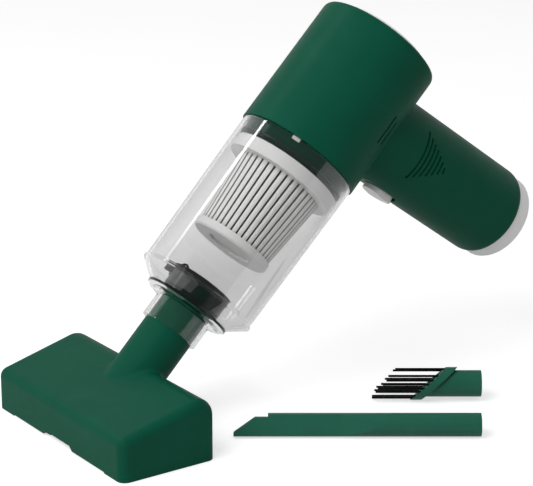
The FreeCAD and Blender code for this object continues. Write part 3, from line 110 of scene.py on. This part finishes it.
def add_node(tree, kind, values=None, **settings):
    """A shader node with its inputs' values and its settings."""
    node = tree.nodes.new(f"ShaderNode{kind}")
    for key, value in settings.items():
        setattr(node, key, value)
    for key, value in (values or {}).items():
        node.inputs[key].default_value = value
    return node


def noise(tree, scale, detail=3.0, roughness=0.5, stretch=None):
    """Noise over the object's own coordinates."""
    coordinates = add_node(tree, "TexCoord")
    source = coordinates.outputs["Object"]
    if stretch:
        mapping = add_node(tree, "Mapping")
        mapping.inputs["Scale"].default_value = stretch
        tree.links.new(source, mapping.inputs["Vector"])
        source = mapping.outputs["Vector"]
    values = {"Scale": scale, "Detail": detail, "Roughness": roughness}
    texture = add_node(tree, "TexNoise", values)
    tree.links.new(source, texture.inputs["Vector"])
    return texture.outputs["Fac"]


def ramp(tree, source, low, high, start=0.3, end=0.7):
    """Maps a value to a mix of two colours."""
    node = add_node(tree, "ValToRGB")
    node.color_ramp.elements[0].position = start
    node.color_ramp.elements[1].position = end
    node.color_ramp.elements[0].color = (*low, 1)
    node.color_ramp.elements[1].color = (*high, 1)
    tree.links.new(source, node.inputs["Fac"])
    return node.outputs["Color"]


def span(tree, source, low, high, start=0.3, end=0.7):
    """Maps a value from one range to another and holds it at the ends."""
    values = {"From Min": start, "From Max": end, "To Min": low, "To Max": high}
    node = add_node(tree, "MapRange", values)
    tree.links.new(source, node.inputs["Value"])
    return node.outputs["Result"]


def scaled(tree, source, share):
    """A value times a share, which is a number or another value."""
    node = add_node(tree, "Math", operation="MULTIPLY")
    tree.links.new(source, node.inputs[0])
    if isinstance(share, float):
        node.inputs[1].default_value = share
    else:
        tree.links.new(share, node.inputs[1])
    return node.outputs["Value"]


def higher(tree, first, second):
    """The higher of two values."""
    node = add_node(tree, "Math", operation="MAXIMUM")
    tree.links.new(first, node.inputs[0])
    tree.links.new(second, node.inputs[1])
    return node.outputs["Value"]


def bump(tree, shader, source, distance, strength=1.0):
    """Raises the surface by a height, in metres at the value 1."""
    node = add_node(tree, "Bump", {"Strength": strength, "Distance": distance})
    tree.links.new(source, node.inputs["Height"])
    tree.links.new(node.outputs["Normal"], shader.inputs["Normal"])


def tinted(colour, share):
    """A colour times a share, never above 1."""
    return tuple(min(1.0, c * share) for c in colour)


def moulded(name, colour, roughness, grain=FINE_GRAIN, depth=FINE_DEPTH, spread=0.05, specular=0.5):
    """Moulded plastic: fine spark-eroded grain, slight mottling and an uneven sheen."""
    material, tree, shader = new_material(name)
    mottle = noise(tree, MOTTLE_CELLS, MOTTLE_DETAIL)
    base = ramp(tree, mottle, tinted(colour, 1 - spread), tinted(colour, 1 + spread))
    tree.links.new(base, shader.inputs["Base Color"])
    sheen_spots = noise(tree, SHEEN_CELLS)
    rough = span(tree, sheen_spots, roughness - SHEEN_SPREAD, roughness + SHEEN_SPREAD)
    tree.links.new(rough, shader.inputs["Roughness"])
    shader.inputs["Specular IOR Level"].default_value = specular
    bump(tree, shader, noise(tree, grain, GRAIN_DETAIL), depth)
    return material


def metal(name, colour, roughness, stretch=(1, 1, 1)):
    """Drawn or turned metal with fine lines."""
    material, tree, shader = new_material(name)
    lines = noise(tree, stretch=stretch, **DRAWN_LINES)
    base = ramp(tree, lines, tinted(colour, DRAWN_SHADE), colour)
    tree.links.new(base, shader.inputs["Base Color"])
    rough = span(tree, lines, roughness, roughness + DRAWN_SPREAD)
    tree.links.new(rough, shader.inputs["Roughness"])
    shader.inputs["Metallic"].default_value = 1.0
    bump(tree, shader, lines, DRAWN_DEPTH)
    return material


def see_through(name, tint, edge, roughness, index):
    """Clear polished plastic that bends what is seen through it, a little darker at its edges.

    Shadow, diffuse and mirrored rays pass straight through it, nearly undimmed.
    """
    material, tree, shader = new_material(name)
    output = tree.nodes["Material Output"]
    flow = noise(tree, FLOW_CELLS, FLOW_DETAIL)
    slope = add_node(tree, "LayerWeight", {"Blend": 0.5})
    wall = add_node(tree, "Math", {1: FLOW_SHARE}, operation="MULTIPLY_ADD")
    tree.links.new(flow, wall.inputs[0])
    tree.links.new(slope.outputs["Facing"], wall.inputs[2])
    base = ramp(tree, wall.outputs["Value"], tint, edge, EDGE_START, EDGE_END)
    tree.links.new(base, shader.inputs["Base Color"])
    shader.inputs["Roughness"].default_value = roughness
    shader.inputs["IOR"].default_value = index
    shader.inputs["Transmission Weight"].default_value = 1.0
    shader.inputs["Coat Weight"].default_value = 1.0
    shader.inputs["Coat IOR"].default_value = COAT_INDEX
    shader.inputs["Coat Roughness"].default_value = roughness
    clear = add_node(tree, "BsdfTransparent", {"Color": PASSED_LIGHT})
    path = add_node(tree, "LightPath")
    # A ray that has gone through clear plastic counts as glossy too, so it is taken off
    mirrored = add_node(tree, "Math", operation="SUBTRACT")
    tree.links.new(path.outputs["Is Glossy Ray"], mirrored.inputs[0])
    tree.links.new(path.outputs["Is Transmission Ray"], mirrored.inputs[1])
    unlit = higher(tree, path.outputs["Is Shadow Ray"], path.outputs["Is Diffuse Ray"])
    passing = higher(tree, unlit, mirrored.outputs["Value"])
    mix = add_node(tree, "MixShader")
    tree.links.new(passing, mix.inputs["Fac"])
    tree.links.new(shader.outputs["BSDF"], mix.inputs[1])
    tree.links.new(clear.outputs["BSDF"], mix.inputs[2])
    tree.links.new(mix.outputs["Shader"], output.inputs["Surface"])
    return material


def paper(name, shade):
    """Filter paper: matte, faintly fibrous."""
    material, tree, shader = new_material(name)
    fibres = noise(tree, **PAPER_FIBRES)
    base = ramp(tree, fibres, tinted(PAPER_LOW, shade), tinted(PAPER_HIGH, shade))
    tree.links.new(base, shader.inputs["Base Color"])
    shader.inputs["Roughness"].default_value = PAPER_ROUGHNESS
    shader.inputs["Specular IOR Level"].default_value = PAPER_SPECULAR
    bump(tree, shader, fibres, PAPER_DEPTH, PAPER_STRENGTH)
    return material


GREEN = (0.0040, 0.0786, 0.0451)
DEEP_GREEN = tinted(GREEN, 0.5)
TOOL_GREEN = (0.018, 0.118, 0.076)
WHITE = (0.88, 0.88, 0.875)
FILTER_WHITE = (0.82, 0.82, 0.815)
GREY = (0.32, 0.33, 0.33)
BLACK = (0.006, 0.008, 0.008)
RUBBER = (0.016, 0.016, 0.017)
BRISTLE = (0.003, 0.003, 0.003)
CELL_BLUE = (0.02, 0.16, 0.30)
BOARD_GREEN = (0.012, 0.10, 0.035)
STEEL = (0.62, 0.62, 0.63)
TURNED_STEEL = (0.55, 0.55, 0.56)
BRASS = (0.72, 0.52, 0.24)
CLEAR = (0.85, 0.85, 0.85)
CLEAR_EDGE = (0.74, 0.74, 0.74)
# Painted shade: the paper deep in the filter's gaps gets this share of its colour
FOLD_PAINTED_SHADE = 0.26
# Each row gives a material its name, its colour and its roughness, then what else sets it apart
materials = {
    "green": moulded("green_moulded", GREEN, 0.42, specular=0.055),
    "gloss_green": moulded("green_gloss", DEEP_GREEN, 0.22, depth=POLISHED_DEPTH, specular=0.12),
    "tool_green": moulded("green_tool", TOOL_GREEN, 0.36, specular=0.16),
    "white": moulded("white_moulded", WHITE, 0.34, spread=0.01),
    "filter_white": moulded("white_filter", FILTER_WHITE, 0.4, spread=0.02, specular=0.4),
    "grey": moulded("grey_inner", GREY, 0.45),
    "black": moulded("black_moulded", BLACK, 0.2, spread=0.15, specular=0.4),
    "rubber": moulded("black_rubber", RUBBER, 0.55, RUBBER_GRAIN, RUBBER_DEPTH, spread=0.2),
    "bristle": moulded("bristle_nylon", BRISTLE, 0.4, spread=0.2, specular=0.15),
    "cell": moulded("cell_sleeve", CELL_BLUE, 0.3),
    "board": moulded("board_mask", BOARD_GREEN, 0.3, BOARD_GRAIN, spread=0.2),
    "steel": metal("drawn_steel", STEEL, 0.24),
    "turned": metal("turned_steel", TURNED_STEEL, 0.2, TURNED_STRETCH),
    "brass": metal("bearing_brass", BRASS, 0.25),
    "clear": see_through("clear_cup", CLEAR, CLEAR_EDGE, roughness=0.012, index=1.13),
    "paper": paper("filter_paper", 1.0),
    "fold": paper("filter_fold_painted_shade", FOLD_PAINTED_SHADE),
}

FINISHES = {
    "head_shell": "green", "sole_plate": "green", "head_screws": "steel",
    "inlet_nose": "clear", "nose_seal_ring": "black", "dust_cup": "clear",
    "inlet_sleeve": "black", "flap_pin": "steel", "flap_valve": "black",
    "filter_end_cap": "filter_white", "filter_pleats": "paper", "filter_top_ring": "filter_white",
    "filter_gasket": "rubber", "neck_collar": "gloss_green", "collar_seal": "rubber",
    "motor_housing": "green", "top_cap": "white", "index_mark": "white",
    "fan_shroud": "grey", "motor_mount": "grey", "motor_can": "steel", "motor_end_bell": "steel",
    "motor_bearings": "brass", "motor_screws": "steel", "motor_shaft": "turned",
    "fan_impeller": "grey", "handle_shell": "green", "handle_end_cap": "white",
    "power_button": "white", "battery_cells": "cell", "battery_tray": "grey",
    "control_board": "board", "power_switch": "black", "charging_socket": "steel",
    "brush_body": "tool_green", "brush_bristles": "bristle", "crevice_nozzle": "tool_green",
}
for name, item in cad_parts.items():
    item.data.materials.clear()
    item.data.materials.append(materials[FINISHES[name]])


# Pieces that stand for plain solids

def add_piece(name, mesh, body, material):
    """A new piece that rides on a body, with its material."""
    piece = bpy.data.objects.new(name, mesh)
    scene.collection.objects.link(piece)
    mesh.materials.append(materials[material])
    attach(piece, body)
    return piece


def ring_mesh(name, rows):
    """A smooth skin over closed rings about the barrel's axis, with the last joined to the first."""
    bm = bmesh.new()
    rings = [[bm.verts.new(barrel @ Vector(point)) for point in row] for row in rows]
    for lower, upper in zip(rings, rings[1:] + rings[:1]):
        count = len(lower)
        for index in range(count):
            following = (index + 1) % count
            bm.faces.new((lower[index], lower[following], upper[following], upper[index]))
    bmesh.ops.recalc_face_normals(bm, faces=bm.faces)
    for face in bm.faces:
        face.smooth = True
    mesh = bpy.data.meshes.new(name)
    bm.to_mesh(mesh)
    bm.free()
    return mesh


# A rounded corner takes this share of a side at most, in this many steps
CORNER_SHARE = 0.35
CORNER_STEPS = 3
# A side longer than this many radii gets a point near each end, this many millimetres along it
LONG_SIDE = 6
SUPPORT = 0.25


def rounded(points, radius):
    """A closed outline with its corners rounded and its long sides given a point near each end."""
    result = []
    count = len(points)
    for index in range(count):
        before, corner, after = (Vector(points[(index + shift) % count]) for shift in (-1, 0, 1))
        back, ahead = before - corner, after - corner
        reach = min(radius, back.length * CORNER_SHARE, ahead.length * CORNER_SHARE)
        start = corner + back.normalized() * reach
        end = corner + ahead.normalized() * reach
        if back.length > LONG_SIDE * radius:
            result.append(start + back.normalized() * SUPPORT)
        for step in range(CORNER_STEPS + 1):
            t = step / CORNER_STEPS
            result.append(start * (1 - t) ** 2 + corner * 2 * t * (1 - t) + end * t * t)
        if ahead.length > LONG_SIDE * radius:
            result.append(end + ahead.normalized() * SUPPORT)
    return result


TURNED_SEGMENTS = 192


def turned_mesh(name, profile):
    """A closed outline of radii and stations, in millimetres, turned about the barrel's axis."""
    rows = []
    for radius, station in profile:
        rows.append([
            (radius * MM * math.cos(2 * math.pi * step / TURNED_SEGMENTS),
             radius * MM * math.sin(2 * math.pi * step / TURNED_SEGMENTS), station * MM)
            for step in range(TURNED_SEGMENTS)
        ])
    return ring_mesh(name, rows)


# Radii and stations of the clear cup and the clear nose, as their solids have them, in millimetres
CUP_CORNER = 0.3
CUP_PROFILE = (
    (22.4, 77.4), (30.45, 83.7), (31.5, 84.4), (31.5, 85.7), (30.8, 86.4),
    (32.0, 169.4), (30.3, 169.4), (29.1, 85.7), (20.6, 78.25), (20.6, 77.4),
)
NOSE_CORNER = 0.22
NOSE_PROFILE = (
    (12.78, 61.6), (15.2, 61.6), (15.2, 73.6), (18.18, 74.02), (20.88, 74.85),
    (22.3, 76.2), (20.8, 76.2), (19.3, 75.95), (17.8, 75.2), (12.78, 75.2),
)
cup_mesh = turned_mesh("clear_bin", rounded(CUP_PROFILE, CUP_CORNER))
cup_piece = add_piece("clear_bin", cup_mesh, "cup", "clear")
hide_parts("dust_cup")
nose_mesh = turned_mesh("clear_nose", rounded(NOSE_PROFILE, NOSE_CORNER))
nose_piece = add_piece("clear_nose", nose_mesh, "cup", "clear")
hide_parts("inlet_nose")


# The paper cone, in millimetres, with its stations along the barrel. A phase is a share of one
# fold's width, with the crest at 0 and the bottom of the gap at 0.5
PLEATS = 40
PLEAT_LEVELS = 8
PLEAT_PHASES = (0.0, 0.12, 0.24, 0.32, 0.36, 0.40, 0.44, 0.5, 0.56, 0.60, 0.64, 0.68, 0.76, 0.88)
# The faces between these phases, deep in each gap, get the darker paper as painted shade
SHADED_GAP_PHASES = (0.36, 0.60)
PLEAT_START = 116.0
PLEAT_END = 153.6
PLEAT_BASE = 20.1
PLEAT_TOP = 23.5
PLEAT_DEPTH = 3.5
PLEAT_BORE = 2.1
FOLD_GAP = 0.15
FOLD_CROWN = 0.12
FOLD_SWAY = 0.12
FOLD_UNEVEN = 0.06
# Odd steps through a sine, which make each fold differ a little from the next
SWAY_STEP = 12.9898
DEPTH_STEP = 7.31


def pleat_radius(phase, crest, depth):
    """A fold's outline: a broad, slightly crowned crest and a narrow pinched gap."""
    gap = min(1.0, abs(phase - 0.5) / FOLD_GAP)
    rise = gap * gap * (3 - 2 * gap)
    crown = FOLD_CROWN * math.cos(2 * math.pi * phase)
    return crest - FOLD_CROWN + crown - depth * (1 - rise)


def make_pleats():
    """The pleated paper between the filter's cap and its ring, with painted shade in the gaps, whose
    faces take a darker paper.
    """
    places = [(fold, phase) for fold in range(PLEATS) for phase in PLEAT_PHASES]
    outer = []
    for level in range(PLEAT_LEVELS + 1):
        share = level / PLEAT_LEVELS
        station = PLEAT_START + (PLEAT_END - PLEAT_START) * share
        crest = PLEAT_BASE + (PLEAT_TOP - PLEAT_BASE) * share
        row = []
        for fold, phase in places:
            sway = FOLD_SWAY * math.sin(fold * SWAY_STEP) * math.sin(math.pi * share)
            depth = PLEAT_DEPTH * (1 + FOLD_UNEVEN * math.sin(fold * DEPTH_STEP))
            radius = pleat_radius(phase, crest, depth)
            angle = 2 * math.pi * (fold + phase) / PLEATS + sway / crest
            row.append((radius * MM * math.cos(angle), radius * MM * math.sin(angle), station * MM))
        outer.append(row)
    inner = []
    for share in (1, 0):
        station = PLEAT_START + (PLEAT_END - PLEAT_START) * share
        bore = PLEAT_BASE + (PLEAT_TOP - PLEAT_BASE) * share - PLEAT_DEPTH - PLEAT_BORE
        inner.append([
            (bore * MM * math.cos(angle), bore * MM * math.sin(angle), station * MM)
            for angle in (2 * math.pi * (fold + phase) / PLEATS for fold, phase in places)
        ])
    mesh = ring_mesh("folded_pleats", outer + inner)
    piece = add_piece("folded_pleats", mesh, "filter", "paper")
    # The second slot is painted shade in the gaps between the folds
    mesh.materials.append(materials["fold"])
    count = len(places)
    first, last = SHADED_GAP_PHASES
    for index, face in enumerate(mesh.polygons):
        phase = PLEAT_PHASES[index % count % len(PLEAT_PHASES)]
        if index < count * PLEAT_LEVELS and first <= phase <= last:
            face.material_index = 1
    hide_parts("filter_pleats")


make_pleats()


# Floor, world and lamps

# Gloss sees the room darker on the side that this direction points to, which is the camera's
ROOM_FRONT = (-0.549, -0.782, 0.296)
ROOM_BACK_LIGHT = 0.75
ROOM_FRONT_LIGHT = 0.12
ROOM_TURN_START = -0.02
ROOM_TURN_END = 0.12
# How bright clear plastic shows the world, and the floor near the object and further back, as
# a share of what the camera sees there by itself. The dimmer world and the much darker floor near
# the object are painted shade, which greys the inside of the cup
WORLD_SEEN_THROUGH = 0.74
FLOOR_SEEN_NEAR = 0.17
FLOOR_SEEN_FAR = 0.95
FLOOR_NEAR_Y = 0.12
FLOOR_FAR_Y = 0.27
FLOOR_HALF = 6.0
FLOOR_DROP = 0.0002
FLOOR_CELLS = 3.0
FLOOR_LOW = (0.65, 0.65, 0.65)
FLOOR_HIGH = (0.67, 0.67, 0.67)
FLOOR_LIFT = 0.61
FLOOR_MIRRORED = 0.43
FLOOR_ROUGHNESS = 0.8
WHITE_LIGHT = (1, 1, 1, 1)


def make_floor():
    """A plain pale floor that the camera sees nearly white and that keeps the shadows."""
    mesh = bpy.data.meshes.new("floor")
    corners = [(-1, -1), (1, -1), (1, 1), (-1, 1)]
    mesh.from_pydata([(x * FLOOR_HALF, y * FLOOR_HALF, 0) for x, y in corners], [], [(0, 1, 2, 3)])
    floor = bpy.data.objects.new("floor", mesh)
    floor.location.z = cad_low.z - FLOOR_DROP
    scene.collection.objects.link(floor)
    material, tree, shader = new_material("floor_pale")
    output = tree.nodes["Material Output"]
    base = ramp(tree, noise(tree, FLOOR_CELLS), FLOOR_LOW, FLOOR_HIGH)
    tree.links.new(base, shader.inputs["Base Color"])
    shader.inputs["Roughness"].default_value = FLOOR_ROUGHNESS
    shader.inputs["Specular IOR Level"].default_value = 0.0
    path = add_node(tree, "LightPath")
    place = add_node(tree, "TexCoord")
    axes = add_node(tree, "SeparateXYZ")
    tree.links.new(place.outputs["Object"], axes.inputs["Vector"])
    # The floor seen through clear plastic is painted darker near the object, as shade inside the cup
    backdrop = span(
        tree, axes.outputs["Y"], FLOOR_SEEN_NEAR, FLOOR_SEEN_FAR, FLOOR_NEAR_Y, FLOOR_FAR_Y)
    mirrored = scaled(tree, path.outputs["Is Glossy Ray"], FLOOR_MIRRORED)
    through = scaled(tree, path.outputs["Is Transmission Ray"], backdrop)
    seen = higher(tree, higher(tree, path.outputs["Is Camera Ray"], mirrored), through)
    glow = add_node(tree, "Emission", {"Color": WHITE_LIGHT})
    tree.links.new(scaled(tree, seen, FLOOR_LIFT), glow.inputs["Strength"])
    both = add_node(tree, "AddShader")
    tree.links.new(shader.outputs["BSDF"], both.inputs[0])
    tree.links.new(glow.outputs["Emission"], both.inputs[1])
    tree.links.new(both.outputs["Shader"], output.inputs["Surface"])
    mesh.materials.append(material)


def make_world(ambient):
    """Even light for the object, a white backdrop, and a room that is dark in front for gloss."""
    world = bpy.data.worlds.new("studio")
    world.use_nodes = True
    scene.world = world
    tree = world.node_tree
    tree.nodes.clear()
    output = tree.nodes.new("ShaderNodeOutputWorld")
    path = add_node(tree, "LightPath")
    # Clear plastic shows the backdrop dimmer than the camera does: painted shade inside the cup
    through = scaled(tree, path.outputs["Is Transmission Ray"], WORLD_SEEN_THROUGH)
    seen = higher(tree, path.outputs["Is Camera Ray"], through)
    light = add_node(tree, "Background", {"Color": WHITE_LIGHT, "Strength": ambient})
    backdrop = add_node(tree, "Background", {"Color": WHITE_LIGHT, "Strength": 1.0})
    mirrored = add_node(tree, "Background", {"Color": WHITE_LIGHT})
    direction = add_node(tree, "TexCoord")
    facing = add_node(tree, "VectorMath", operation="DOT_PRODUCT")
    facing.inputs[1].default_value = ROOM_FRONT
    tree.links.new(direction.outputs["Generated"], facing.inputs[0])
    room = span(
        tree, facing.outputs["Value"], ROOM_BACK_LIGHT, ROOM_FRONT_LIGHT,
        ROOM_TURN_START, ROOM_TURN_END)
    tree.links.new(room, mirrored.inputs["Strength"])
    mix = add_node(tree, "MixShader")
    tree.links.new(path.outputs["Is Glossy Ray"], mix.inputs["Fac"])
    tree.links.new(light.outputs["Background"], mix.inputs[1])
    tree.links.new(mirrored.outputs["Background"], mix.inputs[2])
    whole = add_node(tree, "MixShader")
    tree.links.new(seen, whole.inputs["Fac"])
    tree.links.new(mix.outputs["Shader"], whole.inputs[1])
    tree.links.new(backdrop.outputs["Background"], whole.inputs[2])
    tree.links.new(whole.outputs["Shader"], output.inputs["Surface"])


def softbox(name, direction, distance, width, height, watts, aim):
    """A flat rectangular lamp that stands off a point in a direction and faces it."""
    data = bpy.data.lights.new(name, "AREA")
    data.shape = "RECTANGLE"
    data.size = width
    data.size_y = height
    data.energy = watts
    lamp = bpy.data.objects.new(name, data)
    lamp.location = aim + Vector(direction).normalized() * distance
    lamp.rotation_euler = (aim - lamp.location).to_track_quat("-Z", "Y").to_euler()
    scene.collection.objects.link(lamp)
    return lamp


def fade(lamp, low, start, end):
    """Dims a lamp towards one end of its length."""
    lamp.data.use_nodes = True
    tree = lamp.data.node_tree
    place = add_node(tree, "NewGeometry")
    axes = add_node(tree, "SeparateXYZ")
    tree.links.new(place.outputs["Parametric"], axes.inputs["Vector"])
    strength = span(tree, axes.outputs["Y"], low, 1.0, start, end)
    tree.links.new(strength, tree.nodes["Emission"].inputs["Strength"])


AMBIENT = 0.38
KEY_DIRECTION = (-0.70, -0.10, 0.70)
KEY_DISTANCE = 1.4
KEY_SIZE = 1.1
KEY_WATTS = 15.1
STRIP_DIRECTION = (-0.59, 0.55, 0.59)
STRIP_DISTANCE = 1.2
STRIP_WIDTH = 0.11
STRIP_LENGTH = 1.4
STRIP_WATTS = 5.0
STRIP_DIM = 0.14
STRIP_DIM_END = 0.56
STRIP_FULL_START = 0.64

centre = (cad_low + cad_high) / 2
make_floor()
make_world(AMBIENT)
key = softbox("key", KEY_DIRECTION, KEY_DISTANCE, KEY_SIZE, KEY_SIZE, KEY_WATTS, centre)
key.visible_glossy = False
key.visible_transmission = False

# The strip lies along the barrel, so that its reflection is one thin line along the cup
strip = softbox(
    "strip", STRIP_DIRECTION, STRIP_DISTANCE, STRIP_WIDTH, STRIP_LENGTH, STRIP_WATTS, centre)
away = Vector(STRIP_DIRECTION).normalized()
along = Vector((math.sin(LEAN), 0.0, math.cos(LEAN)))
across = along.cross(away)
strip.rotation_euler = Matrix((across, along, away)).transposed().to_euler()
strip.visible_diffuse = False
fade(strip, STRIP_DIM, STRIP_DIM_END, STRIP_FULL_START)


# Camera at the photograph's view

AIM = Vector((0.09528, 0.00029, 0.07758))
VIEW_AZIMUTH = math.radians(-35.1)
VIEW_ELEVATION = math.radians(17.21)
VIEW_DISTANCE = 1.0207
SENSOR_WIDTH = 36.0
LENS = 139.73
CLIP_END = 50.0
back = Vector((
    math.sin(VIEW_AZIMUTH) * math.cos(VIEW_ELEVATION),
    -math.cos(VIEW_AZIMUTH) * math.cos(VIEW_ELEVATION),
    math.sin(VIEW_ELEVATION),
))
camera_data = bpy.data.cameras.new("camera")
camera_data.sensor_width = SENSOR_WIDTH
camera_data.lens = LENS
camera_data.clip_end = CLIP_END
camera = bpy.data.objects.new("camera", camera_data)
camera.location = AIM + back * VIEW_DISTANCE
camera.rotation_euler = (-back).to_track_quat("-Z", "Y").to_euler()
scene.collection.objects.link(camera)
scene.camera = camera

scene.view_settings.view_transform = "Standard"
